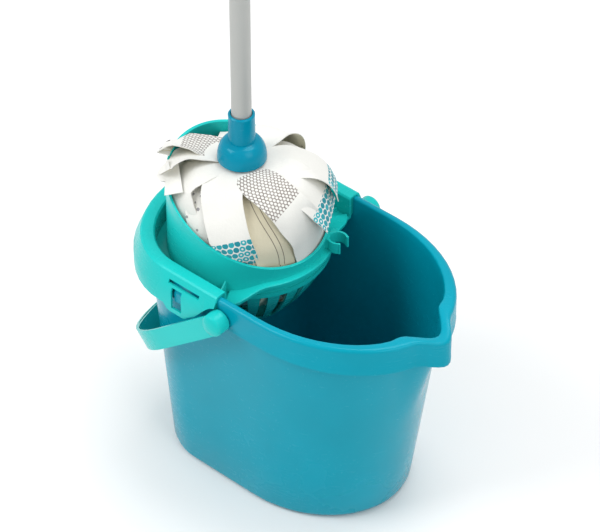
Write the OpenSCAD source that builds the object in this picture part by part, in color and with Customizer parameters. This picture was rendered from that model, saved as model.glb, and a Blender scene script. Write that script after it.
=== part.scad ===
// Mop bucket set: an oval bucket with a pouring spout, a swinging bail, a lift-out wringer
// with a slotted basket, and a strip mop on a three-piece tube handle.
// Millimetres, +Z up. The origin is the middle of the bucket's base, and the spout points to +X.

/* [Bucket] */
// Height of the rim's top above the floor
bucket_h = 275; // [225:1:340]
// Width of the rim, side to side
rim_w = 222.4; // [190:0.1:280]
// Reach of the rim behind the origin
rim_back = 171; // [160:0.5:210]
// Reach of the rim in front of the origin, without the spout
rim_front = 189.5; // [170:0.5:230]
// Length of the rim's rounded back end
rim_back_round = 88.5; // [70:0.5:120]
// Length of the rim's rounded front end
rim_front_round = 144.5; // [110:0.5:170]
// Length of the base
base_l = 277; // [240:1:310]
// Width of the base
base_w = 193; // [150:1:240]
// Length of the base's rounded back end
base_back_round = 75; // [60:0.5:110]
// Length of the base's rounded front end
base_front_round = 116; // [90:0.5:130]
// Thickness of the bucket's wall and floor
wall_t = 2.8; // [2:0.1:4]
// Radius of the edge between wall and base
foot_r = 9; // [4:0.5:16]
// How far the rim stands out from the wall
rim_out = 5.2; // [4.6:0.1:9]
// How much further the rim stands out at the front
rim_front_out = 6; // [0:0.5:12]
// Height of the skirt that hangs from the rim
skirt_h = 33; // [24:0.5:45]
// Thickness of that skirt
skirt_t = 2.4; // [1.8:0.1:3]
// Radius of the rim's outer edge
rim_edge_r = 4.2; // [2:0.1:4.6]

/* [Spout] */
// How far the spout reaches past the rim
spout_reach = 15.5; // [5:0.5:25]
// Half the spout's width at the rim
spout_half_w = 31; // [20:0.5:45]
// How much lower the spout's lip is than the rim
spout_dip = 5; // [0:0.5:8]
// Height at which the spout's channel starts in the wall
spout_start = 110; // [60:1:180]
// How far the rim's inner edge swells at the spout's two shoulders
shoulder_swell = 3; // [0:0.5:5]

/* [Bail] */
// Place of the bail's pivots along the bucket
pivot_x = -3.5; // [-20:0.5:20]
// Depth of the pivots below the rim's top
pivot_drop = 22.7; // [18:0.1:24]
// Radius of the pivot pins
pivot_r = 5; // [3:0.1:6]
// Running clearance of the pins, on the radius
pivot_clear = 0.06; // [0.02:0.01:0.1]
// Radius of the round bosses at the ends of the bail
boss_r = 12.5; // [10:0.5:14]
// How far the bosses stand proud of the arms
boss_proud = 5.5; // [3:0.5:9]
// Thickness of the bail's arms
bail_t = 2.8; // [2:0.1:4]
// Width of the bail's strap
bail_h = 23.3; // [16:0.1:28]
// Straight length of each arm
bail_straight = 100; // [80:1:130]
// How far the level bail would reach past the wringer's collar
bail_over = 33.6; // [30:0.1:60]
// Width of the grip's channel, outside
grip_w = 8.2; // [7:0.1:14]
// Gap between the bail and what it swings past
bail_clear = 2.8; // [1.5:0.1:6]

/* [Wringer] */
// Clearance between the wringer and the bucket
wringer_clear = 1; // [0.6:0.1:4]
// Distance from the rim to the outside of the wringer's collar
collar_out = 8.9; // [8:0.1:14]
// Thickness of the wringer's walls
shell_t = 2.5; // [2:0.1:3.5]
// Depth of the collar's skirt below the rim's top
collar_drop = 37; // [28:0.5:45]
// Place of the collar's two ends along the bucket
collar_end = -9; // [-30:1:0]
// Width of the gutter between collar and funnel at the sides
gutter_w = 10.7; // [8:0.1:30]
// Width of the gutter behind the funnel
back_gutter_w = 5.5; // [4:0.5:30]
// Depth of the gutter's floor below the rim's top
gutter_drop = 23; // [16:0.5:30]
// Height of the funnel's lip above the rim's top, at the wringer's axis
lip_rise = 40.5; // [30:0.5:60]
// Slope of the funnel's lip, lower towards the spout
lip_tilt = 24.6; // [0:0.1:28]
// Depth of the basket below the gutter's floor
basket_depth = 82; // [60:1:110]
// Radius of the basket's flat bottom
basket_bottom_r = 34; // [20:1:50]
// Number of slots round the basket
slot_count = 24; // [12:1:32]
// Width of a slot
slot_w = 8.6; // [4:0.1:10]

/* [Catches] */
// Width of the windows in the collar
window_w = 14; // [8:0.5:20]
// Height of the windows
window_h = 26.5; // [14:0.5:30]
// Gap round a catch in its window
catch_gap = 1.4; // [0.8:0.1:3]
// How far the catches stand out from the rim's skirt
catch_proud = 4.8; // [2:0.1:5]

/* [Handle clip] */
// Direction of the clip round the wringer's axis
clip_angle = 24; // [0:1:40]
// Diameter of the round handle that the clip holds
clip_hold_d = 16.8; // [10:0.1:22]
// Clearance of that handle in the clip, on the radius
clip_clear = 0.2; // [0:0.05:0.6]
// Thickness of the clip's prongs
clip_t = 2.2; // [1.8:0.1:4]
// Height of the clip
clip_h = 13; // [10:0.5:24]

/* [Mop] */
// Distance of the mop's axis behind the wringer's axis
mop_back = 8; // [0:0.5:12]
// Outer diameter of the handle tube
tube_d = 21.1; // [17:0.1:26]
// Wall of the handle tube
tube_t = 0.8; // [0.6:0.1:1.5]
// Length of one of the three tube sections
tube_l = 385; // [300:1:450]
// Wall of the socket's neck round the tube
neck_t = 3.45; // [2:0.05:5]
// Height of the neck's top above the rim's top
neck_top = 143; // [120:1:170]
// Length of the neck
neck_l = 34; // [24:1:50]
// Height of the dome under the neck
dome_h = 24; // [15:0.5:30]
// Diameter of the dome
dome_d = 52; // [44:1:64]
// Depth of the tube in the socket
tube_seat = 36; // [25:1:45]
// Diameter of the plate that clamps the strips
plate_d = 46; // [40:1:54]
// Thickness of the clamp plate
plate_t = 3; // [2:0.5:5]
// Thickness of the bundle of strips where it is clamped
bundle_t = 7; // [4:0.5:10]
// Gap between the strips and what turns over them
strip_clear = 0.6; // [0.4:0.1:2]
// Gap between the strips and the funnel
funnel_clear = 1.6; // [1:0.1:4]

/* [Handle ends] */
// Length of the plastic joint inside each tube joint
joint_l = 70; // [40:1:100]
// Width of the visible ring at each tube joint
joint_ring = 3; // [2:0.5:6]
// Length of the end cap on the tube
cap_l = 95; // [60:1:140]
// Wall of the end cap round the tube
cap_t = 2.45; // [1.5:0.05:4]
// Radius of the hanging eye
eye_r = 5; // [3:0.5:6]

/* [Hidden] */
$fn = 72;
lap = 0.2;                              // how far joined shapes run into each other
teal = [0.00, 0.61, 0.70];
deep_teal = [0.01, 0.50, 0.63];
mint = [0.20, 0.76, 0.75];
steel_grey = [0.68, 0.69, 0.68];
cloth_white = [0.89, 0.89, 0.87];

// Outlines: [back x, front x, half width, back round, front round]
base_egg = [-base_l / 2, base_l / 2, base_w / 2, base_back_round, base_front_round];
rim_egg = [-rim_back, rim_front, rim_w / 2, rim_back_round, rim_front_round];
wall_egg = [
    rim_out - rim_back, rim_front - rim_out - rim_front_out, rim_w / 2 - rim_out,
    rim_back_round, rim_front_round - rim_front_out
];
skirt_z = bucket_h - skirt_h;

// Stations round an outline: [1 for the front end or -1 for the back end, angle]
STATIONS = concat(
    [for (t = [-90 : 6 : -24]) [1, t]], [for (t = [-20 : 2.5 : 20]) [1, t]],
    [for (t = [24 : 6 : 90]) [1, t]], [for (t = [90 : 6 : 270]) [-1, t]]
);

function egg_point(egg, station, off) = let(
        end_l = station[0] > 0 ? egg[4] : egg[3],
        middle = station[0] > 0 ? egg[1] - egg[4] : egg[0] + egg[3],
        c = cos(station[1]),
        s = sin(station[1]),
        n = [c / end_l, s / egg[2]]
    ) [middle + end_l * c, egg[2] * s] + off * n / norm(n);
function steps(from, step, to) = [for (v = [from : step : to]) v];
function egg_outline(egg, off) = [for (station = STATIONS) egg_point(egg, station, off)];
function mix(a, b, share) = a + (b - a) * share;
function smooth(t) = let(u = min(1, max(0, t))) u * u * (3 - 2 * u);
function wall_at(z) = mix(base_egg, wall_egg, z / bucket_h);

// The spout swells the front end by reach and lowers it by dip
function spout_bump(y) = abs(y) < spout_half_w ? (1 + cos(180 * y / spout_half_w)) / 2 : 0;
function shoulder_bump(y) = exp(-pow((abs(y) - spout_half_w - 1) / 8, 2));
function ring(egg, off, z, reach = 0, dip = 0, swell = 0) = [
    for (station = STATIONS) let(
        p = egg_point(egg, station, off),
        front = station[0] > 0 ? 1 : 0,
        bump = front * spout_bump(p[1])
    ) [p[0] + reach * bump - swell * front * shoulder_bump(p[1]), p[1], z - dip * bump]
];
function wall_ring(off, z, swell = 0) = let(
        share = smooth((z - spout_start) / (bucket_h - spout_start))
    ) ring(wall_at(z), off, z, spout_reach * share, spout_dip * pow(share, 6), swell);
function rim_ring(off, z) = ring(rim_egg, off, z, spout_reach, spout_dip);

// Triangles between closed rings of n points, with each end closed by one face, or by a fan.
// The rings run anticlockwise seen from the last one's side.
function flat(rings) = [for (r = rings) each r];
function side_faces(rings, n) = [
    for (i = [0 : rings - 2], j = [0 : n - 1]) let(
        a = i * n + j, b = i * n + (j + 1) % n, c = b + n, d = a + n
    ) each [[a, c, b], [a, d, c]]
];
function average(points) = [for (k = [0 : 2]) [for (p = points) p[k]] * [for (p = points) 1] / len(points)];
module skin(rings, fan = false) {
    n = len(rings[0]);
    total = len(rings) * n;
    centres = fan ? [average(rings[0]), average(rings[len(rings) - 1])] : [];
    first = fan ? [for (j = [0 : n - 1]) [total, j, (j + 1) % n]] : [[for (j = [0 : n - 1]) j]];
    last = fan ? [for (j = [0 : n - 1]) [total + 1, total - n + (j + 1) % n, total - n + j]]
        : [[for (j = [n - 1 : -1 : 0]) total - n + j]];
    polyhedron(concat(flat(rings), centres), concat(side_faces(len(rings), n), first, last), convexity = 8);
}

// The bail: in its own plane, u runs from the pivots to the grip and v across the bucket
pivot_z = bucket_h - pivot_drop;
collar_half = rim_w / 2 + collar_out;
arm_in = collar_half + bail_clear;
arm_out = arm_in + bail_t;
bail_tip = rim_back + collar_out + pivot_x + bail_over;
bail_round = bail_tip - bail_straight;
back_slope = (rim_back - rim_out - base_l / 2) / bucket_h;
tip_in = bail_tip - grip_w;
tip_reach = norm([tip_in, bail_h / 2]);
rest_gap = 0.6;
back_run = pivot_x + base_l / 2 + back_slope * pivot_z + rest_gap;
rest_angle = atan(back_slope) + acos(back_run / (tip_reach * norm([1, back_slope])))
    - atan(bail_h / 2 / tip_in);
skirt_face = rim_w / 2;
pin_end = skirt_face - rim_out + 0.5;
boss_gap = 0.8;

module on_bail() { translate([pivot_x, 0, pivot_z]) rotate([0, -rest_angle, 0]) children(); }
// A point of the strap's middle line, offset inwards
function strap_point(t, inset) = abs(t) > 90
    ? [-(1 - (abs(t) - 90) / 90) * bail_straight, sign(t) * (arm_out - inset)]
    : let(n = [cos(t) / bail_round, sin(t) / arm_out])
        [-bail_straight - bail_round * cos(t), arm_out * sin(t)] - inset * [-n[0], n[1]] / norm(n);
function strap_section(t, from, to, low, high) = let(a = strap_point(t, from), b = strap_point(t, to))
    [[b[0], b[1], low], [a[0], a[1], low], [a[0], a[1], high], [b[0], b[1], high]];

module bail() {
    floor_t = 2.6;
    liner_t = 2.4;
    color(mint) on_bail() {
        skin([for (t = concat([-180, -135], steps(-90, 7.5, 90), [135, 180]))
            strap_section(t, 0, bail_t, -bail_h / 2, bail_h / 2)]);
        skin([for (t = [-66 : 6 : 66]) let(d = liner_inset(t))
            strap_section(t, d - liner_t, d, -bail_h / 2, bail_h / 2)]);
        skin([for (t = [-66 : 6 : 66]) let(d = liner_inset(t))
            strap_section(t, bail_t / 2, d - liner_t / 2, -bail_h / 2, floor_t - bail_h / 2)]);
    }
}
// The grip's inner wall leaves the strap and runs beside it round the end
function liner_inset(t) = mix(bail_t - lap, grip_w, smooth((66 - abs(t)) / 30));

module bail_bosses() {
    dome_out = arm_out + boss_proud;
    edge = 3.2;
    color(mint) for (side = [-1, 1]) translate([pivot_x, 0, pivot_z]) rotate([-90 * side, 0, 0]) {
        rotate_extrude() polygon(concat(
            [[0, pin_end + 0.2], [pivot_r - 0.8, pin_end + 0.2], [pivot_r, pin_end + 1],
                [pivot_r, skirt_face + boss_gap], [boss_r - 1, skirt_face + boss_gap],
                [boss_r, skirt_face + boss_gap + 1]],
            [for (a = [0 : 15 : 75]) [boss_r * cos(a), arm_out + (dome_out - arm_out) * sin(a)]],
            [[0, dome_out]]
        ));
    }
}

module bucket() {
    inner_r = 2.6;
    floor_r = foot_r;
    lug_r = pivot_r + 4;
    outer_foot = [for (a = [0 : 30 : 90]) wall_ring(foot_r * (sin(a) - 1), foot_r * (1 - cos(a)))];
    outer_wall = [for (z = concat([60, 110], steps(140, 27, bucket_h - 30), [bucket_h - 8])) wall_ring(0, z)];
    skirt_in = [rim_ring(-skirt_t, bucket_h - 8), rim_ring(-skirt_t, skirt_z)];
    skirt_out = [rim_ring(0.3, skirt_z), rim_ring(0.3, skirt_z + 2.4), rim_ring(0, skirt_z + 3)];
    rim_edge = [for (a = [0 : 22.5 : 90])
        rim_ring(rim_edge_r * (cos(a) - 1), bucket_h + rim_edge_r * (sin(a) - 1))];
    inner_edge = [for (a = [90 : -30 : 0])
        wall_ring(inner_r * (1 - cos(a)) - wall_t, bucket_h + inner_r * (sin(a) - 1), shoulder_swell)];
    inner_wall = [for (z = concat([bucket_h - 12], steps(bucket_h - 35, -27, 135), [110, 60]))
        wall_ring(-wall_t, z)];
    inner_foot = [for (a = [90 : -30 : 0])
        wall_ring(floor_r * (sin(a) - 1) - wall_t, wall_t + floor_r * (1 - cos(a)))];
    color(teal) difference() {
        union() {
            skin(concat(
                outer_foot, outer_wall, skirt_in, skirt_out, rim_edge, inner_edge, inner_wall, inner_foot
            ), fan = true);
            for (side = [-1, 1]) translate([pivot_x, 0, pivot_z]) rotate([-90 * side, 0, 0])
                translate([0, 0, skirt_face - rim_out - 1.2]) cylinder(r = lug_r, h = rim_out + 0.4);
        }
        for (side = [-1, 1]) translate([pivot_x, 0, pivot_z]) rotate([-90 * side, 0, 0])
            translate([0, 0, pin_end]) cylinder(r = pivot_r + pivot_clear, h = 20);
    }
}

// Places on the rim: the straight sides by x, the round back end by angle
rim_back_x = rim_back_round - rim_back;
function rim_normal(angle) = let(n = [cos(angle) / rim_back_round, sin(angle) / (rim_w / 2)]) n / norm(n);
function rim_turn(angle) = let(n = rim_normal(angle)) atan2(n[1], n[0]);
// Children drawn with +X outwards, at a place on the rim: [x, side] on a side or [angle] on the back end
module at_rim(place) {
    if (len(place) == 2)
        translate([place[0], place[1] * rim_w / 2, 0]) rotate([0, 0, 90 * place[1]]) children();
    else translate(egg_point(rim_egg, [-1, place[0]], 0)) rotate([0, 0, rim_turn(place[0])]) children();
}
window_x = rim_back_x + 23.5;
window_turn = 24;
WINDOWS = [[window_x, -1], [window_x, 1], [180 - window_turn], [180 + window_turn]];
window_top = bucket_h - 12;

module catch_tabs() {
    w = window_w - 2 * catch_gap;
    low = max(window_top - window_h + catch_gap, skirt_z + 0.6);
    high = window_top - catch_gap;
    color(teal) for (place = WINDOWS) at_rim(place) rotate([90, 0, 0]) translate([0, 0, -w / 2])
        linear_extrude(w) polygon([
            [-skirt_t / 2, low], [catch_proud - 1, low], [catch_proud, low + 1.5],
            [catch_proud, high - 6], [1.2, high], [-skirt_t / 2, high]
        ]);
}

// The wringer
side_slope = (rim_w / 2 - rim_out - base_w / 2) / bucket_h;
ledge = rim_out + wall_t + wringer_clear + max(back_slope, side_slope) * (gutter_drop + shell_t);
leg_in = ledge + shell_t;
funnel_r = rim_w / 2 - leg_in - gutter_w;
wringer_x = leg_in + back_gutter_w + funnel_r - rim_back;
floor_z = bucket_h - gutter_drop;
rest_lift = 0.4;
cover_h = shell_t + 0.5;
cover_fall = 17;
cover_edge = 1.3;

module at_wringer() { translate([wringer_x, 0, 0]) children(); }

// The collar's cover slopes from a ridge over the rim down to its skirt
function cover_out(z) = let(low = bucket_h - cover_fall)
    collar_out - max(0, z - low) * (collar_out - cover_edge) / (cover_fall + 1.2);
function cover_in(z) = cover_out(z) - shell_t * (z > bucket_h - cover_fall ? 1.09 : 1);
// Section of that cover: [distance out from the rim, height], starting at the skirt's edge
function cover_section(skirt) = let(
        t = shell_t, h = bucket_h, top = bucket_h + cover_h, under = top - t + 0.3,
        knee = max(h - cover_fall, skirt + 0.5)
    ) [
        [cover_out(skirt), skirt], [cover_out(knee), knee], [cover_edge, h + 1.2], [-0.6, top - 0.4],
        [-6, top], [-leg_in + 1.6, top - 0.6], [-leg_in, top - 2.4], [-leg_in, floor_z],
        [-ledge, floor_z], [-ledge, under - 1.4], [-ledge + 0.7, under], [-2, under],
        [cover_in(h - 1.5), h - 1.5], [cover_in(knee), knee], [cover_in(skirt), skirt]
    ];
// The skirt's lower edge rises to the collar's ends and dips under each window
function skirt_edge(place) = let(
        side = len(place) == 2,
        from_end = side ? (collar_end - place[0]) / 34 : 1,
        tongue = side ? (18 - abs(place[0] - window_x)) / 6
            : (14 - abs(abs(place[0] - 180) - window_turn)) / 6
    ) bucket_h - mix(9, collar_drop, smooth(from_end)) - 7 * smooth(tongue);
COLLAR_PLACES = let(straight = [for (k = [0 : 14]) mix(collar_end, rim_back_x, k / 15)]) concat(
    [for (x = straight) [x, -1]], [for (t = [270 : -7.5 : 90]) [t]],
    [for (k = [14 : -1 : 0]) [straight[k], 1]]
);
function rim_point(place, off) = len(place) == 2
    ? [place[0], place[1] * (rim_w / 2 + off)] : egg_point(rim_egg, [-1, place[0]], off);
RESTS = [
    [window_x - 20, -1], [window_x - 20, 1], [window_x + 24, -1], [window_x + 24, 1], [140], [180], [220]
];

module rim_collar() {
    grip_slot_x = collar_end - 42;
    grip_slot_l = 42;
    color(mint) {
        difference() {
            skin([for (place = COLLAR_PLACES) [for (q = cover_section(skirt_edge(place)))
                let(p = rim_point(place, q[0])) [p[0], p[1], q[1]]]]);
            for (place = WINDOWS) at_rim(place) translate([1.2, -window_w / 2, window_top - window_h])
                cube([collar_out + 2, window_w, window_h]);
            for (side = [-1, 1]) at_rim([grip_slot_x, side])
                translate([0.8, -grip_slot_l / 2, bucket_h - 9.6]) cube([collar_out, grip_slot_l, 4.6]);
        }
        for (place = RESTS) at_rim(place) translate([-7, -1, bucket_h + rest_lift])
            cube([5, 2, cover_h - shell_t - rest_lift + 0.5]);
    }
}

module inside_rim() {
    intersection() {
        polygon(egg_outline(rim_egg, -ledge));
        translate([collar_end - 500, -250]) square([500, 500]);
    }
}

module gutter_floor() {
    slot_r = funnel_r + gutter_w - 4.6;
    slot_half = 2;
    slot_turn = 12;
    color(mint) translate([0, 0, floor_z - shell_t]) linear_extrude(shell_t) difference() {
        union() {
            inside_rim();
            at_wringer() circle(r = funnel_r + 1.5);
        }
        at_wringer() circle(r = funnel_r - shell_t);
        at_wringer() for (side = [-1, 1]) rotate(90 * side) polygon(concat(
            [for (a = [-slot_turn : 3 : slot_turn]) (slot_r + slot_half) * [cos(a), sin(a)]],
            [for (a = [slot_turn : -3 : -slot_turn]) (slot_r - slot_half) * [cos(a), sin(a)]]
        ));
    }
}

// Low walls that close the gutter at the collar's two ends
module gutter_dams() {
    dam_x = collar_end - 19;
    dam_t = 1.8;
    out_y = rim_w / 2 - leg_in;
    in_y = sqrt(pow(funnel_r, 2) - pow(dam_x - wringer_x, 2));
    low_h = 4;
    high_h = 16;
    color(mint) for (side = [-1, 1]) translate([dam_x, 0, floor_z]) rotate([90, 0, 90])
        linear_extrude(dam_t) scale([side, 1]) polygon(concat(
            [[out_y + lap, 0], [out_y + lap, low_h]],
            [for (k = [1 : 8]) let(u = k / 8) [mix(out_y, in_y + 0.4, u), mix(low_h, high_h, u * u)]],
            [[in_y + 0.4, 0]]
        ));
}

// The funnel's wall, cut by the sloping plane of its lip
module lip_cut(extra) {
    at_wringer() translate([0, 0, bucket_h + lip_rise + extra]) rotate([0, lip_tilt, 0])
        translate([0, 0, 200]) cube(400, center = true);
}
module funnel() {
    base_flare = 1.2;
    color(mint) difference() {
        at_wringer() rotate_extrude() polygon([
            [funnel_r - shell_t, floor_z], [funnel_r, floor_z], [funnel_r - 0.6, floor_z + 10],
            [funnel_r - base_flare, bucket_h + 100], [funnel_r - base_flare - shell_t, bucket_h + 100],
            [funnel_r - 0.6 - shell_t, floor_z + 10]
        ]);
        lip_cut(0);
    }
}

// A narrow flange round the funnel's front, whose ends arch down to the gutter's floor
module front_flange() {
    flange_t = 4;
    flange_w = 6;
    flange_z = bucket_h - 9;
    flange_steps = 31;
    end_corner = [collar_end - 3.2 - wringer_x, rim_w / 2 - leg_in - 0.5];
    flange_turn = atan2(end_corner[1], end_corner[0]);
    end_r = norm(end_corner);
    function fall(a) = smooth((abs(a) - 34) / (flange_turn - 34));
    function spread(a) = mix(funnel_r + flange_w, end_r, pow(fall(a), 1.5));
    function section(a) = let(
            top = mix(flange_z, floor_z + flange_t, fall(a)),
            in_r = funnel_r - 0.9, out_r = spread(a)
        ) [for (q = [
            [in_r, top], [out_r - 1, top], [out_r, top - 1], [out_r, top - flange_t], [in_r, top - flange_t]
        ]) [q[0] * cos(a), q[0] * sin(a), q[1]]];
    color(mint) difference() {
        at_wringer() skin([for (k = [0 : flange_steps])
            section(mix(-flange_turn, flange_turn, k / flange_steps))]);
        at_clip() translate([0, 0, -100]) cylinder(r = clip_r + 0.4, h = 200);
    }
}

// The basket: its radius falls faster towards the bottom
basket_top = floor_z - shell_t;
function basket_r(share) = mix(funnel_r - 2, basket_bottom_r, pow(share, 1.5));
module basket() {
    rows = 12;
    slot_top = 9;
    slot_bottom = 62;
    outer = [for (k = [0 : rows]) [basket_r(k / rows), basket_top - basket_depth * k / rows]];
    inner = [for (k = [rows : -1 : 0]) [
        basket_r(k / rows) - shell_t * (k == 0 ? 1 : 1.2),
        k == 0 ? basket_top : basket_top - basket_depth * k / rows + (k == rows ? shell_t : 0)
    ]];
    color(mint) at_wringer() difference() {
        rotate_extrude() polygon(concat(
            [[0, basket_top - basket_depth]], [for (k = [rows : -1 : 1]) outer[k]],
            [[funnel_r + 1.5, basket_top - 3], [funnel_r + 1.5, basket_top]],
            [[funnel_r - 2 - shell_t, basket_top]],
            [for (k = [1 : rows]) inner[rows - k]], [[0, basket_top - basket_depth + shell_t]]
        ));
        for (k = [0 : slot_count - 1]) rotate([0, 0, (k + 0.5) * 360 / slot_count])
            translate([basket_bottom_r - 4, 0, basket_top]) {
                translate([0, -slot_w / 2, -slot_bottom]) cube([100, slot_w, slot_bottom - slot_top]);
                for (z = [slot_top, slot_bottom]) translate([0, 0, -z]) rotate([0, 90, 0])
                    cylinder(r = slot_w / 2, h = 100);
            }
    }
}

// A spring clip on the funnel for a hand brush's handle
clip_r = clip_hold_d / 2 + clip_clear;
clip_mid = funnel_r + clip_t + clip_r;
clip_z = bucket_h - 8.5;
module at_clip() { at_wringer() rotate([0, 0, clip_angle]) translate([clip_mid, 0, 0]) children(); }
module handle_clip() {
    mouth = 45;
    mouth_turn = -20;
    tip_r = 1.3;
    ring_r = clip_r + clip_t / 2;
    color(mint) at_clip() translate([0, 0, clip_z]) linear_extrude(clip_h) {
        difference() {
            circle(r = clip_r + clip_t);
            circle(r = clip_r);
            rotate(mouth_turn)
                polygon([[0, 0], 60 * [cos(mouth), sin(mouth)], [60, 0], 60 * [cos(mouth), -sin(mouth)]]);
        }
        for (side = [-1, 1]) rotate(mouth_turn + side * mouth) translate([ring_r + 0.6, 0]) circle(r = tip_r);
        difference() {
            translate([-clip_r - clip_t - 1, -6]) square([clip_t + 1, 12]);
            circle(r = clip_r);
        }
    }
}

// The mop: strips clamped under a dome, turning about the mop's own axis
mop_x = wringer_x - mop_back;
neck_z = bucket_h + neck_top - neck_l;
dome_z = neck_z - dome_h;
plate_z = dome_z - bundle_t - plate_t;
screw_r = 3;
seat_z = bucket_h + neck_top - tube_seat;
stud_r = 7;
stud_l = 15;
fit_clear = 0.03;
neck_d = tube_d + 2 * neck_t;
cap_d = tube_d + 2 * cap_t;
module at_mop() { translate([mop_x, 0, 0]) children(); }

module mop_strips() {
    in_funnel_r = funnel_r - shell_t - mop_back - funnel_clear - 1.2;
    rows = 8;
    last_share = 0.78;
    hanging = [for (k = [rows : -1 : 0]) let(share = last_share * k / rows) [
        basket_r(share) - 1.5 * shell_t - mop_back - funnel_clear, basket_top - basket_depth * share
    ]];
    crown_z = dome_z - strip_clear;
    crown = [for (a = [0 : 10 : 80]) [
        in_funnel_r - 26 + 26 * cos(a), bucket_h + lip_rise + 12 + (crown_z - bucket_h - lip_rise - 12) * sin(a)
    ]];
    hole_r = plate_d / 2 + strip_clear;
    color(cloth_white) at_mop() rotate_extrude() polygon(concat(
        [[0, hanging[0][1]]], hanging, [[in_funnel_r, floor_z]], crown,
        [[dome_d / 2 - 2, crown_z], [screw_r + strip_clear, crown_z],
            [screw_r + strip_clear, plate_z + plate_t + strip_clear],
            [hole_r, plate_z + plate_t + strip_clear],
            [hole_r, plate_z - 4 - strip_clear], [0, plate_z - 4 - strip_clear]]
    ));
}

module mop_socket() {
    recess_h = 6;
    recess_w = 0.9;
    color(deep_teal) at_mop() difference() {
        rotate_extrude() polygon(concat(
            [[0, dome_z], [dome_d / 2 - 1, dome_z], [dome_d / 2, dome_z + 1], [dome_d / 2, dome_z + 3]],
            [for (k = [1 : 10]) let(u = k / 10)
                [mix(neck_d / 2, dome_d / 2, sqrt(1 - u * u)), mix(dome_z + 3, neck_z, u)]],
            [[neck_d / 2, neck_z + neck_l - 1.2], [neck_d / 2 - 1.2, neck_z + neck_l], [0, neck_z + neck_l]]
        ));
        translate([0, 0, seat_z]) cylinder(d = tube_d + 2 * fit_clear, h = tube_seat + 1);
        translate([0, 0, neck_z + neck_l - recess_h]) cylinder(d = tube_d + 2 * recess_w, h = recess_h + 1);
        translate([0, 0, seat_z - stud_l - 1]) cylinder(r = stud_r + fit_clear, h = stud_l + 2);
        translate([0, 0, dome_z - 1]) cylinder(r = screw_r + fit_clear, h = 8);
    }
}

module clamp_plate() {
    color(steel_grey) at_mop() translate([0, 0, plate_z]) difference() {
        rotate_extrude() polygon([
            [0, 0], [plate_d / 2 - 1, 0], [plate_d / 2, 1], [plate_d / 2, plate_t], [0, plate_t]
        ]);
        translate([0, 0, -1]) cylinder(r = screw_r + 0.25, h = plate_t + 2);
    }
}

module clamp_screw() {
    head_h = 3.4;
    color(steel_grey) at_mop() {
        translate([0, 0, plate_z]) cylinder(r = screw_r, h = plate_t + bundle_t + 6.5);
        translate([0, 0, plate_z - head_h]) difference() {
            cylinder(r = 5.5, h = head_h);
            translate([0, 0, -1]) cylinder(r = 2, h = 2.8, $fn = 6);
        }
    }
}

module thread_insert() {
    plug_l = 30;
    color([0.25, 0.27, 0.28]) at_mop() {
        translate([0, 0, seat_z]) cylinder(r = tube_d / 2 - tube_t - fit_clear, h = plug_l);
        translate([0, 0, seat_z - stud_l]) cylinder(r = stud_r, h = stud_l + lap);
    }
}

module tube(z) {
    color(steel_grey) at_mop() translate([0, 0, z]) difference() {
        cylinder(d = tube_d, h = tube_l);
        translate([0, 0, -1]) cylinder(r = tube_d / 2 - tube_t, h = tube_l + 2);
    }
}
module tube_joint(z) {
    color(deep_teal) at_mop() translate([0, 0, z]) {
        cylinder(d = tube_d, h = joint_ring);
        translate([0, 0, (joint_ring - joint_l) / 2])
            cylinder(r = tube_d / 2 - tube_t - fit_clear, h = joint_l);
    }
}
middle_z = seat_z + tube_l + joint_ring;
upper_z = middle_z + tube_l + joint_ring;
tube_top = upper_z + tube_l;
module lower_tube() { tube(seat_z); }
module lower_joint() { tube_joint(middle_z - joint_ring); }
module middle_tube() { tube(middle_z); }
module upper_joint() { tube_joint(upper_z - joint_ring); }
module upper_tube() { tube(upper_z); }

module end_cap() {
    over = cap_l - 15;
    eye_z = tube_top + 14;
    loop_r = eye_r + 4.5;
    color(deep_teal) at_mop() difference() {
        union() {
            rotate_extrude() polygon([
                [0, tube_top - over], [tube_d / 2 + 1, tube_top - over], [cap_d / 2, tube_top - over + 6],
                [cap_d / 2, tube_top - 4], [cap_d / 2 - 3, tube_top + 3], [0, tube_top + 3]
            ]);
            intersection() {
                translate([0, 0, eye_z]) rotate([90, 0, 0]) cylinder(r = loop_r, h = 12, center = true);
                translate([-20, -6, tube_top]) cube([40, 12, 60]);
            }
            translate([-loop_r, -6, tube_top]) cube([2 * loop_r, 12, eye_z - tube_top]);
        }
        translate([0, 0, tube_top - over - 1]) cylinder(d = tube_d + 2 * fit_clear, h = over + 1);
        translate([0, 0, eye_z]) rotate([90, 0, 0]) cylinder(r = eye_r, h = 30, center = true);
    }
}

bucket();
catch_tabs();
bail();
bail_bosses();
rim_collar();
gutter_floor();
gutter_dams();
funnel();
front_flange();
basket();
handle_clip();
mop_strips();
mop_socket();
clamp_plate();
clamp_screw();
thread_insert();
lower_tube();
lower_joint();
middle_tube();
upper_joint();
upper_tube();
end_cap();
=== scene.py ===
"""The look of a mop bucket with a lift-out wringer and a strip mop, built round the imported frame.

The CAD nodes keep their shapes and get moulded plastic, coated tube and zinc materials. The mop's
bundle of strips is replaced by separate cloth strips, which lie over the crown under the dome and
tuck down into the funnel and the basket.
"""

import math

import bpy
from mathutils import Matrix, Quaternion, Vector

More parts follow.
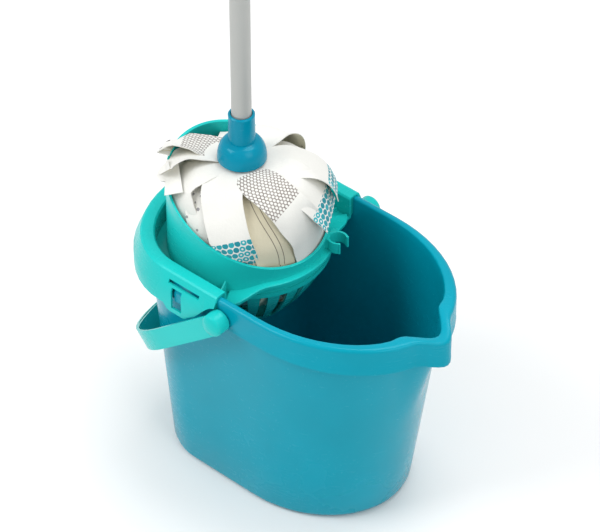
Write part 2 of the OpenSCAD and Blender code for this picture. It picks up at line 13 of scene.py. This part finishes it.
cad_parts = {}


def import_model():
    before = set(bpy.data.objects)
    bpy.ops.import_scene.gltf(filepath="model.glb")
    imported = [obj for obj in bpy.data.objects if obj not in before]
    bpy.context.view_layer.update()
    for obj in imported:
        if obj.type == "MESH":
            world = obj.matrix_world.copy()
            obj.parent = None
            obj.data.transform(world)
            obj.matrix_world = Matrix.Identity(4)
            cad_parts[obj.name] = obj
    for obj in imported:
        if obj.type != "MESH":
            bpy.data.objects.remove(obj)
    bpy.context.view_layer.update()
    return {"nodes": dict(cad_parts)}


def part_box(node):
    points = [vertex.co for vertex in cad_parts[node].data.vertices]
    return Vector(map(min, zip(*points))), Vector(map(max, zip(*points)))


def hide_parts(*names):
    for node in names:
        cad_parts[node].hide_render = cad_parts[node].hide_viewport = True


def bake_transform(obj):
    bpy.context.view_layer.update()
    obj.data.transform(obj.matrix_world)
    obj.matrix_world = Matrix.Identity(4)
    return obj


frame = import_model()

MM = 0.001
NODES = frame["nodes"]


# ---------------------------------------------------------------- node helpers
class Shader:
    """A material's node tree, with short calls for the nodes that are used here."""

    def __init__(self, name, roughness, specular=0.5):
        self.material = bpy.data.materials.new(name)
        self.material.use_nodes = True
        self.tree = self.material.node_tree
        self.out = self.tree.nodes["Principled BSDF"]
        self.out.inputs["Roughness"].default_value = roughness
        self.out.inputs["Specular IOR Level"].default_value = specular

    def node(self, kind, inputs=None, **settings):
        made = self.tree.nodes.new("ShaderNode" + kind)
        for key, value in settings.items():
            setattr(made, key, value)
        for key, value in (inputs or {}).items():
            if isinstance(value, bpy.types.NodeSocket):
                self.tree.links.new(value, made.inputs[key])
            else:
                made.inputs[key].default_value = value
        return made

    def link(self, socket, name):
        self.tree.links.new(socket, self.out.inputs[name])

    def place(self, stretch=(1, 1, 1), source="Object"):
        coordinates = self.node("TexCoord").outputs[source]
        return self.node("Mapping", {"Vector": coordinates, "Scale": stretch}).outputs["Vector"]

    def noise(self, scale, detail=3, stretch=(1, 1, 1), source="Object", roughness=0.5):
        return self.node(
            "TexNoise",
            {"Vector": self.place(stretch, source), "Scale": scale, "Detail": detail,
             "Roughness": roughness},
        ).outputs["Fac"]

    def math(self, operation, *values, clamp=False):
        return self.node(
            "Math", dict(enumerate(values)), operation=operation, use_clamp=clamp
        ).outputs[0]

    def vector(self, operation, *values, out="Vector"):
        return self.node("VectorMath", dict(enumerate(values)), operation=operation).outputs[out]

    def span(self, value, low, high, to_low=0.0, to_high=1.0):
        """value from low..high carried to to_low..to_high, held at the ends."""
        return self.node(
            "MapRange",
            {"Value": value, "From Min": low, "From Max": high, "To Min": to_low, "To Max": to_high},
        ).outputs["Result"]

    def mix(self, share, a, b):
        made = self.node("Mix", data_type="RGBA")
        for value, index in ((share, 0), (a, 6), (b, 7)):
            if isinstance(value, bpy.types.NodeSocket):
                self.tree.links.new(value, made.inputs[index])
            else:
                made.inputs[index].default_value = value
        return made.outputs[2]

    def bump(self, *layers):
        """Each layer is (height, strength, distance in metres)."""
        normal = None
        for height, strength, distance in layers:
            inputs = {"Height": height, "Strength": strength, "Distance": distance}
            if normal is not None:
                inputs["Normal"] = normal
            normal = self.node("Bump", inputs).outputs["Normal"]
        self.link(normal, "Normal")


def rgb(r, g, b):
    """A colour given as sRGB from 0 to 255."""

    def linear(value):
        value /= 255
        return value / 12.92 if value <= 0.04045 else ((value + 0.055) / 1.055) ** 2.4

    return (linear(r), linear(g), linear(b), 1)


def shade(colour, factor):
    return (*(min(1, value * factor) for value in colour[:3]), 1)


# ---------------------------------------------------------------- materials
def edge_mask(s, radius):
    """1 on the edges of a solid and 0 on its open faces."""
    rounded = s.node("Bevel", {"Radius": radius}, samples=4).outputs["Normal"]
    facing = s.vector("DOT_PRODUCT", rounded, s.node("NewGeometry").outputs["Normal"], out="Value")
    return s.span(facing, 0.97, 0.80)


def moulded(name, colour, roughness, grain=0.10, wear=0.35):
    """Glossy polypropylene: a faint orange peel, cloudy colour, scuffs, rubbed paler edges."""
    s = Shader(name, roughness, specular=0.20)
    cloud = s.noise(9, detail=4)
    scuffs = s.noise(60, detail=6, stretch=(1, 1, 7), roughness=0.7)
    scratches = s.noise(420, detail=2, stretch=(1, 0.06, 0.5))
    rub = s.math("MULTIPLY", edge_mask(s, 1.2 * MM), s.span(s.noise(45), 0.35, 0.7, 0, wear))
    body = s.mix(s.span(cloud, 0.3, 0.7), shade(colour, 0.93), shade(colour, 1.06))
    dulled = s.mix(s.span(scuffs, 0.64, 0.85, 0, 0.16), body, shade(colour, 1.25))
    s.link(s.mix(rub, dulled, shade(colour, 1.6)), "Base Color")
    base = s.span(cloud, 0.3, 0.7, roughness - 0.05, roughness + 0.06)
    scuffed = s.math("ADD", base, s.span(scuffs, 0.58, 0.8, 0, 0.16))
    s.link(s.math("ADD", scuffed, s.span(scratches, 0.66, 0.8, 0, 0.10)), "Roughness")
    s.bump(
        (s.noise(26, detail=1), 0.10, 0.9 * MM),
        (s.noise(900, detail=2), grain, 0.06 * MM),
        (s.span(scratches, 0.66, 0.8), 0.06, 0.05 * MM),
    )
    s.out.inputs["Specular Tint"].default_value = (0.45, 0.92, 0.95, 1)
    s.out.inputs["Coat Weight"].default_value = 0.06
    s.out.inputs["Coat Roughness"].default_value = 0.14
    s.out.inputs["Subsurface Weight"].default_value = 0.02
    s.out.inputs["Subsurface Radius"].default_value = (0.002, 0.004, 0.004)
    return s.material


def coated_tube():
    """Thin steel tube under a satin grey powder coat, a little chipped and scratched."""
    s = Shader("tube_coat", 0.42)
    grey, bare = rgb(172, 174, 171), rgb(120, 120, 118)
    cloud = s.noise(14, detail=3)
    chips = s.span(s.noise(95, detail=7, roughness=0.75), 0.70, 0.74)
    drawn = s.noise(800, detail=2, stretch=(1, 1, 0.01))
    body = s.mix(cloud, shade(grey, 0.94), shade(grey, 1.05))
    s.link(s.mix(s.math("MULTIPLY", chips, 0.7), body, bare), "Base Color")
    s.link(s.math("ADD", s.span(cloud, 0.3, 0.7, 0.36, 0.48), s.math("MULTIPLY", chips, 0.15)), "Roughness")
    s.bump((drawn, 0.05, 0.05 * MM), (s.noise(1500, detail=2), 0.18, 0.05 * MM), (chips, -0.25, 0.08 * MM))
    s.out.inputs["Metallic"].default_value = 0.25
    return s.material


def zinc():
    """Zinc-plated steel with its spangle, wiped dull in places."""
    s = Shader("zinc_plate", 0.34)
    spangle = s.node("TexVoronoi", {"Vector": s.place(), "Scale": 380}).outputs["Color"]
    tone = s.mix(0.12, rgb(196, 198, 200), spangle)
    s.link(s.mix(s.span(s.noise(30), 0.45, 0.7, 0, 0.4), tone, rgb(150, 150, 148)), "Base Color")
    s.link(s.span(s.noise(70, detail=5), 0.3, 0.7, 0.26, 0.46), "Roughness")
    s.bump((s.noise(600, detail=3), 0.12, 0.05 * MM))
    s.out.inputs["Metallic"].default_value = 1
    return s.material


def lattice(s, wide, high, jitter=0.0):
    """Distance from the nearest point of a staggered lattice over a strip's own flat coordinates, and
    a number that differs from cell to cell. The distance is 0 at a point and about 0.5 between two."""
    flat = s.place((1 / wide, 1 / high, 1), "UV")
    if jitter:
        wobble = s.node("TexNoise", {"Vector": flat, "Scale": 0.9, "Detail": 1}).outputs["Color"]
        away = s.vector("SUBTRACT", wobble, (0.5, 0.5, 0.5))
        flat = s.vector("ADD", flat, s.vector("MULTIPLY", away, (jitter, jitter, jitter)))
    stretch = (1, high / wide, 0)
    distances, cells = [], []
    for shift in (0, 0.5):
        at = s.vector("ADD", flat, (shift, shift, 0))
        cells.append(s.vector("FLOOR", at))
        away = s.vector("SUBTRACT", s.vector("FRACTION", at), (0.5, 0.5, 0))
        distances.append(s.vector("LENGTH", s.vector("MULTIPLY", away, stretch), out="Value"))
    nearest = s.math("MINIMUM", *distances)
    first = s.math("LESS_THAN", *distances)
    picked = s.node("Mix", {0: first}, data_type="VECTOR")
    s.tree.links.new(cells[1], picked.inputs[4])
    s.tree.links.new(cells[0], picked.inputs[5])
    number = s.node("TexWhiteNoise", {"Vector": picked.outputs[1]}, noise_dimensions="2D").outputs["Value"]
    return nearest, number


def cloth(name, printed=None, base=rgb(222, 222, 217)):
    """Nonwoven viscose: matted fibres, soft dimples and faint stains, with a print over it or none."""
    s = Shader(name, 0.85, specular=0.25)
    fibres = s.noise(1400, detail=4, stretch=(1, 0.18, 1), source="UV")
    across = s.noise(1100, detail=4, stretch=(0.2, 1, 1), source="UV")
    dimples = s.node("TexVoronoi", {"Vector": s.place(source="UV"), "Scale": 520}).outputs["Distance"]
    stains = s.noise(28, detail=5)
    colour = s.mix(s.span(stains, 0.4, 0.75, 0, 0.5), base, shade(base, 0.90))
    colour = s.mix(s.span(fibres, 0.35, 0.65, 0, 0.25), colour, shade(base, 0.86))
    if printed:
        colour = printed(s, colour)
    s.link(colour, "Base Color")
    s.link(s.span(across, 0.3, 0.7, 0.78, 0.95), "Roughness")
    s.bump(
        (s.noise(95, detail=3), 0.30, 1.2 * MM),
        (dimples, 0.35, 0.25 * MM),
        (fibres, 0.22, 0.12 * MM),
        (across, 0.18, 0.12 * MM),
    )
    s.out.inputs["Sheen Weight"].default_value = 0.25
    s.out.inputs["Sheen Roughness"].default_value = 0.5
    return s.material


def net_print(s, colour):
    """A grey net whose round white cells sit in staggered rows."""
    away, number = lattice(s, 4.4 * MM, 6.6 * MM)
    line = s.span(away, 0.31, 0.39)
    faded = s.math("MULTIPLY", line, s.span(number, 0, 1, 0.82, 1.0))
    return s.mix(faded, colour, rgb(122, 113, 108))


def dot_print(s, colour):
    """Scattered grey dots, with some left out."""
    away, number = lattice(s, 9 * MM, 13 * MM, jitter=0.25)
    inside = s.math("LESS_THAN", away, s.span(number, 0.25, 1, 0.10, 0.24))
    shown = s.math("MULTIPLY", inside, s.math("GREATER_THAN", number, 0.3))
    return s.mix(s.math("MULTIPLY", shown, 0.85), colour, rgb(122, 122, 128))


def scale_print(s, colour):
    """Turquoise ovals packed like scales, a few with a pale middle."""
    away, number = lattice(s, 6.6 * MM, 13.5 * MM, jitter=0.12)
    oval = s.span(away, 0.50, 0.45)
    hollow = s.math("MULTIPLY", s.span(away, 0.20, 0.14), s.math("GREATER_THAN", number, 0.62))
    paint = s.mix(number, rgb(18, 128, 142), rgb(40, 168, 178))
    return s.mix(s.math("SUBTRACT", oval, hollow, clamp=True), colour, paint)


def speckle_print(s, colour):
    """Dark flecks that show through on the back."""
    flecks = s.noise(330, detail=2, source="UV", roughness=0.6)
    patches = s.span(s.noise(55, detail=2, source="UV"), 0.42, 0.58)
    return s.mix(s.math("MULTIPLY", s.span(flecks, 0.60, 0.64), patches), colour, rgb(92, 92, 74))


def border_print(s, colour):
    """Two thin dark lines beside one edge of the strip."""
    across = s.node("SeparateXYZ", {"Vector": s.place(source="UV")}).outputs["X"]
    lines = [
        s.math("LESS_THAN", s.math("ABSOLUTE", s.math("SUBTRACT", across, at * MM)), 0.45 * MM)
        for at in (-9, -3)
    ]
    return s.mix(s.math("MULTIPLY", s.math("MAXIMUM", *lines), 0.75), colour, rgb(70, 62, 60))


TEAL, DEEP, MINT = rgb(0, 146, 168), rgb(0, 132, 160), rgb(26, 188, 184)
FINISHES = {
    "teal_plastic": moulded("bucket_plastic", TEAL, 0.24),
    "deep_teal_plastic": moulded("socket_plastic", DEEP, 0.20),
    "mint_plastic": moulded("wringer_plastic", MINT, 0.26),
    "grey_tube": coated_tube(),
    "dark_plastic": moulded("plug_plastic", rgb(52, 54, 56), 0.5, grain=0.3),
    "zinc_steel": zinc(),
    "mop_cloth": cloth("cloth_plain"),
}
CREAM = rgb(208, 203, 176)
PRINTS = {
    "plain": FINISHES["mop_cloth"],
    "net": cloth("cloth_net", net_print),
    "dots": cloth("cloth_dots", dot_print),
    "scales": cloth("cloth_scales", scale_print),
    "border": cloth("cloth_border", border_print, rgb(216, 209, 184)),
    "back": cloth("cloth_back", speckle_print, CREAM),
}


# ---------------------------------------------------------------- CAD nodes
def smooth_group():
    """Joins the corners that the import keeps apart, then shades smooth over all but sharp edges."""
    group = bpy.data.node_groups.new("smooth_by_angle", "GeometryNodeTree")
    for direction in ("INPUT", "OUTPUT"):
        group.interface.new_socket("Geometry", in_out=direction, socket_type="NodeSocketGeometry")
    chain = [group.nodes.new(kind) for kind in (
        "NodeGroupInput", "GeometryNodeRemoveAttribute", "GeometryNodeMergeByDistance",
        "GeometryNodeSetShadeSmooth", "GeometryNodeSetShadeSmooth", "NodeGroupOutput",
    )]
    _, remove, merge, faces, edges, _ = chain
    remove.inputs["Name"].default_value = "custom_normal"
    merge.inputs["Distance"].default_value = 1e-6
    edges.domain = "EDGE"
    angle = group.nodes.new("GeometryNodeInputMeshEdgeAngle")
    compare = group.nodes.new("FunctionNodeCompare")
    compare.operation = "LESS_THAN"
    compare.inputs["B"].default_value = math.radians(28)
    group.links.new(angle.outputs["Unsigned Angle"], compare.inputs["A"])
    group.links.new(compare.outputs["Result"], edges.inputs["Shade Smooth"])
    for a, b in zip(chain, chain[1:]):
        group.links.new(a.outputs["Geometry"], b.inputs["Geometry"])
    return group


SMOOTH = smooth_group()
for node in NODES.values():
    node.modifiers.new("smooth", "NODES").node_group = SMOOTH
    for material_slot in node.material_slots:
        material_slot.material = FINISHES[material_slot.material.name]


# ---------------------------------------------------------------- cloth strips
# Everything here is in millimetres round the mop's own axis, and turned into metres at the end.
socket_low, socket_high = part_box("mop_socket")
AXIS = Vector(((socket_low.x + socket_high.x) / 2, (socket_low.y + socket_high.y) / 2)) / MM
THICK = 0.9
ROWS_PER_MM = 1 / 4.0
COLUMNS = 10
# The egg-shaped crown that the strips lie on: its radius, and its height over its widest level
CROWN_R, CROWN_FOOT, CROWN_H = 84, 262, 100


def polar(angle, radius, z):
    a = math.radians(angle)
    return Vector((AXIS.x + radius * math.cos(a), AXIS.y + radius * math.sin(a), z))


def catmull(points, t):
    """Catmull-Rom through points at t from 0 to len(points) - 1, for points of any length."""
    i = min(int(t), len(points) - 2)
    u = t - i
    p = [points[max(0, min(len(points) - 1, i + k))] for k in (-1, 0, 1, 2)]
    return [
        0.5 * (2 * b + (c - a) * u + (2 * a - 5 * b + 4 * c - d) * u**2 + (3 * b - a - 3 * c + d) * u**3)
        for a, b, c, d in zip(*p)
    ]


def crown_normal(point):
    """Outwards from the egg-shaped crown that the strips lie on, and sideways below it."""
    out = Vector((point.x - AXIS.x, point.y - AXIS.y, 0))
    rise = max(0, point.z - CROWN_FOOT)
    return Vector((out.x / CROWN_R**2, out.y / CROWN_R**2, rise / CROWN_H**2)).normalized()


class Strip:
    """One cloth strip. Its stations are (angle, radius, height, roll) along its middle, from under the
    dome outwards. prints are (from, to, name) in millimetres along it. curl bends both edges down,
    ripple waves the whole strip, and flare turns stretches of its edges up."""

    def __init__(self, name, stations, width=46, prints=(), curl=1.0, ripple=1.2, flare=6.0,
                 face="plain", seed=0):
        self.name, self.width, self.prints, self.curl = name, width, prints, curl
        self.ripple, self.flare, self.face, self.seed = ripple, flare, face, seed
        self.stations = [tuple(s) + (0,) * (4 - len(s)) for s in stations]
        self.build()

    def middle(self, t):
        angle, radius, z, roll = catmull(self.stations, t)
        return polar(angle, radius, z), roll

    def build(self):
        ends = len(self.stations) - 1
        fine = [self.middle(ends * k / 400)[0] for k in range(401)]
        along = [0.0]
        for a, b in zip(fine, fine[1:]):
            along.append(along[-1] + (b - a).length)
        self.length = along[-1]
        rows = max(8, round(self.length * ROWS_PER_MM))
        top, bottom, flat = [], [], []
        at = 0
        self.side = None
        for row in range(rows + 1):
            s = self.length * row / rows
            while at < 399 and along[at + 1] < s:
                at += 1
            t = ends * (at + (s - along[at]) / max(1e-9, along[at + 1] - along[at])) / 400
            for high, low, uv in self.section(t, s):
                top.append(high)
                bottom.append(low)
                flat.append(uv)
        self.make_mesh(top, bottom, flat, rows)

    def section(self, t, s):
        """The points across the strip at one place along it: upper side, lower side, flat place."""
        ends = len(self.stations) - 1
        point, roll = self.middle(t)
        ahead, behind = self.middle(min(ends, t + 0.02))[0], self.middle(max(0, t - 0.02))[0]
        run = (ahead - behind).normalized()
        side = run.cross(crown_normal(point)).normalized()
        if self.side and side.dot(self.side) < 0:
            side = -side
        self.side = side.copy()
        side.rotate(Quaternion(run, math.radians(roll)))
        out = side.cross(run).normalized()
        gather = 0.72 + 0.28 * min(1, s / 32)
        loose = min(1, s / 45)
        for column in range(COLUMNS + 1):
            across = (column / COLUMNS - 0.5) * self.width
            wave = math.sin(s / 13 + 2.1 * self.seed + across / 17)
            wave += 0.6 * math.sin(s / 7.3 - across / 11 + self.seed)
            edge = abs(across) * 2 / self.width
            turned = max(0, math.sin(s / 24 + 1.7 * self.seed + (2.4 if across > 0 else 0)))
            lift = self.ripple * loose * wave * 0.6 - self.curl * across**2 / 180
            lift += self.flare * loose * turned * edge**3
            place = held(point + side * across * gather + out * lift)
            yield place + out * THICK / 2, place - out * THICK / 2, (across * MM, s * MM)

    def make_mesh(self, top, bottom, flat, rows):
        wide = COLUMNS + 1
        count = len(top)
        faces, slots = [], []
        names = ["back"]
        for row in range(rows):
            s = self.length * (row + 0.5) / rows
            face = next((name for low, high, name in self.prints if low <= s < high), self.face)
            if face not in names:
                names.append(face)
            for column in range(COLUMNS):
                a = row * wide + column
                b, c, d = a + 1, a + wide + 1, a + wide
                faces += [(a, d, c, b), (a + count, b + count, c + count, d + count)]
                slots += [names.index(face), 0]
        rim = list(range(wide)) + [(r + 1) * wide - 1 for r in range(1, rows + 1)]
        rim += [rows * wide + k for k in range(wide - 2, -1, -1)]
        rim += [r * wide for r in range(rows - 1, 0, -1)]
        for a, b in zip(rim, rim[1:] + rim[:1]):
            faces.append((a, b, b + count, a + count))
            slots.append(names.index(self.face) if self.face in names else 0)
        mesh = bpy.data.meshes.new(self.name)
        mesh.from_pydata([p * MM for p in top + bottom], [], faces)
        for name in names:
            mesh.materials.append(PRINTS[name])
        for polygon, index in zip(mesh.polygons, slots):
            polygon.material_index = index
        layer = mesh.uv_layers.new(name="flat")
        for loop in mesh.loops:
            layer.data[loop.index].uv = flat[loop.vertex_index % count]
        mesh.shade_smooth()
        mesh.set_sharp_from_angle(angle=math.radians(50))
        self.piece = bpy.data.objects.new(self.name, mesh)
        bpy.context.scene.collection.objects.link(self.piece)


# Where the funnel and the basket are, seen from the mop's axis
funnel_low, funnel_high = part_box("funnel")
FUNNEL_R = (funnel_high.y - funnel_low.y) / 2 / MM - 2.5
OFFSET = (funnel_low.x + funnel_high.x) / 2 / MM - AXIS.x
basket_low, basket_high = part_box("basket")
BASKET_TOP, BASKET_BOTTOM = basket_high.z / MM, basket_low.z / MM
BASKET_BOTTOM_R = 34
LIP_HIGH, LIP_LOW = funnel_high.z / MM, 277
LIP_SLOPE = (LIP_HIGH - LIP_LOW) / (2 * FUNNEL_R)
# How far the cloth stays inside the funnel and the basket, and above the lip where it hangs over it
FUNNEL_GAP, BASKET_GAP, LIP_GAP = 1.2, 4, 3


def room(angle, z):
    """Distance from the mop's axis to the inside of the funnel or the basket."""
    share = min(1, max(0, (BASKET_TOP - z) / (BASKET_TOP - BASKET_BOTTOM)))
    inside = FUNNEL_R + (BASKET_BOTTOM_R - FUNNEL_R) * share**1.5 - (3 if share > 0 else 0)
    a = math.radians(angle)
    return OFFSET * math.cos(a) + math.sqrt(inside**2 - (OFFSET * math.sin(a)) ** 2)


def held(point):
    """The point, moved in where it would touch the funnel or the basket."""
    share = min(1, max(0, (BASKET_TOP - point.z) / (BASKET_TOP - BASKET_BOTTOM)))
    limit = FUNNEL_R + (BASKET_BOTTOM_R - FUNNEL_R) * share**1.5
    limit -= BASKET_GAP if share > 0 else FUNNEL_GAP
    away = Vector((point.x - AXIS.x - OFFSET, point.y - AXIS.y))
    lip = LIP_HIGH - (away.x + FUNNEL_R) * LIP_SLOPE
    if point.z > lip + LIP_GAP or away.length <= limit:
        return point
    away *= limit / away.length
    return Vector((AXIS.x + OFFSET + away.x, AXIS.y + away.y, point.z))


def tail(angle, gap, turn=6):
    """Stations down the inside of the funnel and basket, gap clear of them, and in over the bottom."""
    made = []
    for k, z in enumerate((272, 250, 230, 212)):
        at = angle + turn * (k + 1) / 4
        made.append((at, room(at, z) - gap - 1.5 * k, z))
    return made + [(angle + turn, room(angle + turn, 205) - gap - 16, 199)]


strips = []


def add(name, stations, **options):
    strips.append(Strip(name, stations, seed=len(strips), **options))


# The strips underneath, one beside the other all round
UNDER = 16
for k in range(UNDER):
    turned = 360 * k / UNDER + 8
    deep = (0, 3.5)[k % 2]
    reach = room(turned, 300)
    add(
        f"strip_under_{k + 1}",
        [(turned - 10, 13, 354.2), (turned - 8, 26, 351 - deep), (turned - 4, 46, 342 - deep),
         (turned, 0.78 * reach - deep, 327 - deep), (turned + 3, reach - 9 - deep, 300)]
        + tail(turned + 4, 3.6 + 0.6 * deep, turn=10),
        width=38, ripple=1.0, curl=1.1, flare=0,
        face="back" if k in (11, 12, 14) else "plain",
        prints=((150, 215, "net"),) if k % 3 == 0 else ((175, 225, "dots"),) if k % 3 == 1 else (),
    )

# The strips on top, in the order in which they lie
add(
    "strip_left_dotted",
    [(-146, 14, 355), (-142, 34, 352), (-138, 58, 346), (-136, 70, 340), (-134, 74, 326),
     (-132, 73, 305)] + tail(-130, 5),
    width=30, prints=((34, 95, "dots"),),
)
add(
    "strip_front_dotted",
    [(-104, 14, 355.4), (-98, 32, 351), (-92, 54, 342), (-84, 71, 329), (-76, 79, 313),
     (-70, 81, 294)] + tail(-66, 5),
    width=38, prints=((40, 110, "dots"),), ripple=1.6,
)
add(
    "strip_lined",
    [(-52, 14, 355.4), (-48, 32, 351.5), (-43, 54, 345), (-36, 73, 331), (-29, 82.5, 311),
     (-25, 85, 290)] + tail(-26, 4.4),
    width=42, face="border", curl=0.7, ripple=1.6,
)
add(
    "strip_back_dotted",
    [(66, 14, 355.6), (65, 34, 353), (62, 56, 349), (58, 76, 341), (55, 88, 328), (54, 88, 308),
     (54, 84, 290)],
    width=44, prints=((46, 100, "dots"),), ripple=1.7,
)
add(
    "strip_back_right",
    [(112, 14, 356), (108, 32, 356), (102, 50, 356.5), (98, 66, 352), (96, 77, 338), (96, 78, 318),
     (96, 78, 300)],
    width=46, curl=0.6,
)
add(
    "strip_back",
    [(142, 14, 356), (138, 34, 352), (134, 56, 348), (132, 68, 340), (131, 71, 325), (130, 71, 305)]
    + tail(130, 5),
    width=46,
)
add(
    "strip_back_net",
    [(-178, 14, 357), (-174, 30, 357.2), (-169, 48, 357), (-165, 62, 357.4), (-162, 74, 358),
     (-160, 83, 357.6), (-159, 91, 353)],
    width=46, prints=((20, 56, "net"),), curl=0.4,
)
add(
    "strip_front_curved",
    [(-128, 14, 356.4), (-125, 34, 355), (-123, 56, 350), (-117, 72, 338), (-107, 78, 324),
     (-98, 79, 310), (-91, 80, 296)] + tail(-88, 4),
    width=44, ripple=0.9,
)
add(
    "strip_left_folded",
    [(-168, 14, 358), (-160, 34, 358.2), (-149, 56, 357.4), (-139, 72, 356), (-131, 83, 354),
     (-126, 87, 350.5), (-124, 80, 348.5), (-122, 66, 349)],
    width=40, curl=0.4, ripple=0.6, flare=3,
)
add(
    "strip_front_broad",
    [(-84, 14, 357), (-80, 32, 356), (-72, 52, 350), (-63, 71, 336), (-57, 83.5, 317),
     (-53, 88, 298), (-51, 86, 282)] + tail(-50, 3.5),
    width=44, prints=((92, 128, "scales"),), curl=0.9,
)
add(
    "strip_right_low",
    [(4, 14, 357), (8, 34, 356.5), (13, 56, 351.5), (17, 76, 340.5), (20, 90, 325), (22, 98, 308)],
    width=50, prints=((84, 140, "scales"),), curl=0.8,
)
add(
    "strip_right_high",
    [(40, 14, 357.6), (42, 34, 357.4), (43, 56, 354.5), (43, 76, 346), (42, 91, 332), (41, 98, 317)],
    width=48, prints=((82, 140, "scales"),), curl=0.8,
)
add(
    "strip_front_net",
    [(-30, 14, 358.2), (-26, 32, 358), (-19, 52, 354.5), (-12, 70, 345), (-6, 82, 329),
     (0, 88.5, 309), (3, 89, 290)] + tail(4, 3.5),
    width=46, prints=((10, 66, "net"),), curl=0.9,
)

for strip in strips:
    piece = strip.piece
    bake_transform(piece)
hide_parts("mop_strips")


# ---------------------------------------------------------------- floor, light, camera
def floor():
    s = Shader("floor", 0.6)
    s.link(s.mix(s.noise(3), rgb(236, 236, 236), rgb(242, 242, 242)), "Base Color")
    bpy.ops.mesh.primitive_plane_add(size=12, location=(0, 0, -0.4 * MM))
    piece = bpy.context.object
    piece.name = "studio_floor"
    piece.data.materials.append(s.material)


def softbox(name, place, target, size, power, tint=(1, 1, 1)):
    light = bpy.data.lights.new(name, "AREA")
    light.shape, light.size, light.size_y = "RECTANGLE", size[0], size[1]
    light.energy, light.color = power, tint
    piece = bpy.data.objects.new(name, light)
    bpy.context.scene.collection.objects.link(piece)
    piece.location = place
    piece.rotation_euler = (Vector(target) - Vector(place)).to_track_quat("-Z", "Y").to_euler()


def camera():
    turn, tilt = math.radians(41.07), math.radians(41.22)
    back = Vector((math.sin(turn) * math.cos(tilt), -math.cos(turn) * math.cos(tilt), math.sin(tilt)))
    data = bpy.data.cameras.new("camera")
    data.sensor_width, data.lens = 36, 192
    data.clip_start, data.clip_end = 0.1, 50
    piece = bpy.data.objects.new("camera", data)
    bpy.context.scene.collection.objects.link(piece)
    piece.location = Vector((1.65059, -1.88705, 2.44888))
    piece.rotation_euler = (-back).to_track_quat("-Z", "Y").to_euler()
    bpy.context.scene.camera = piece


def world():
    sky = bpy.data.worlds.new("studio")
    bpy.context.scene.world = sky
    sky.use_nodes = True
    sky.node_tree.nodes["Background"].inputs["Color"].default_value = (1, 1, 1, 1)
    sky.node_tree.nodes["Background"].inputs["Strength"].default_value = 0.68


middle = Vector((0, 0, 0.22))
floor()
world()
softbox("key_light", (-1.2, -1.7, 2.3), middle, (1.4, 1.4), 40)
softbox("fill_light", (1.9, -0.4, 1.5), middle, (1.2, 1.6), 14)
softbox("top_light", (0.1, 0.7, 2.6), middle, (1.6, 1.2), 28)
camera()
bpy.context.scene.view_settings.view_transform = "Standard"

bpy.context.view_layer.update()
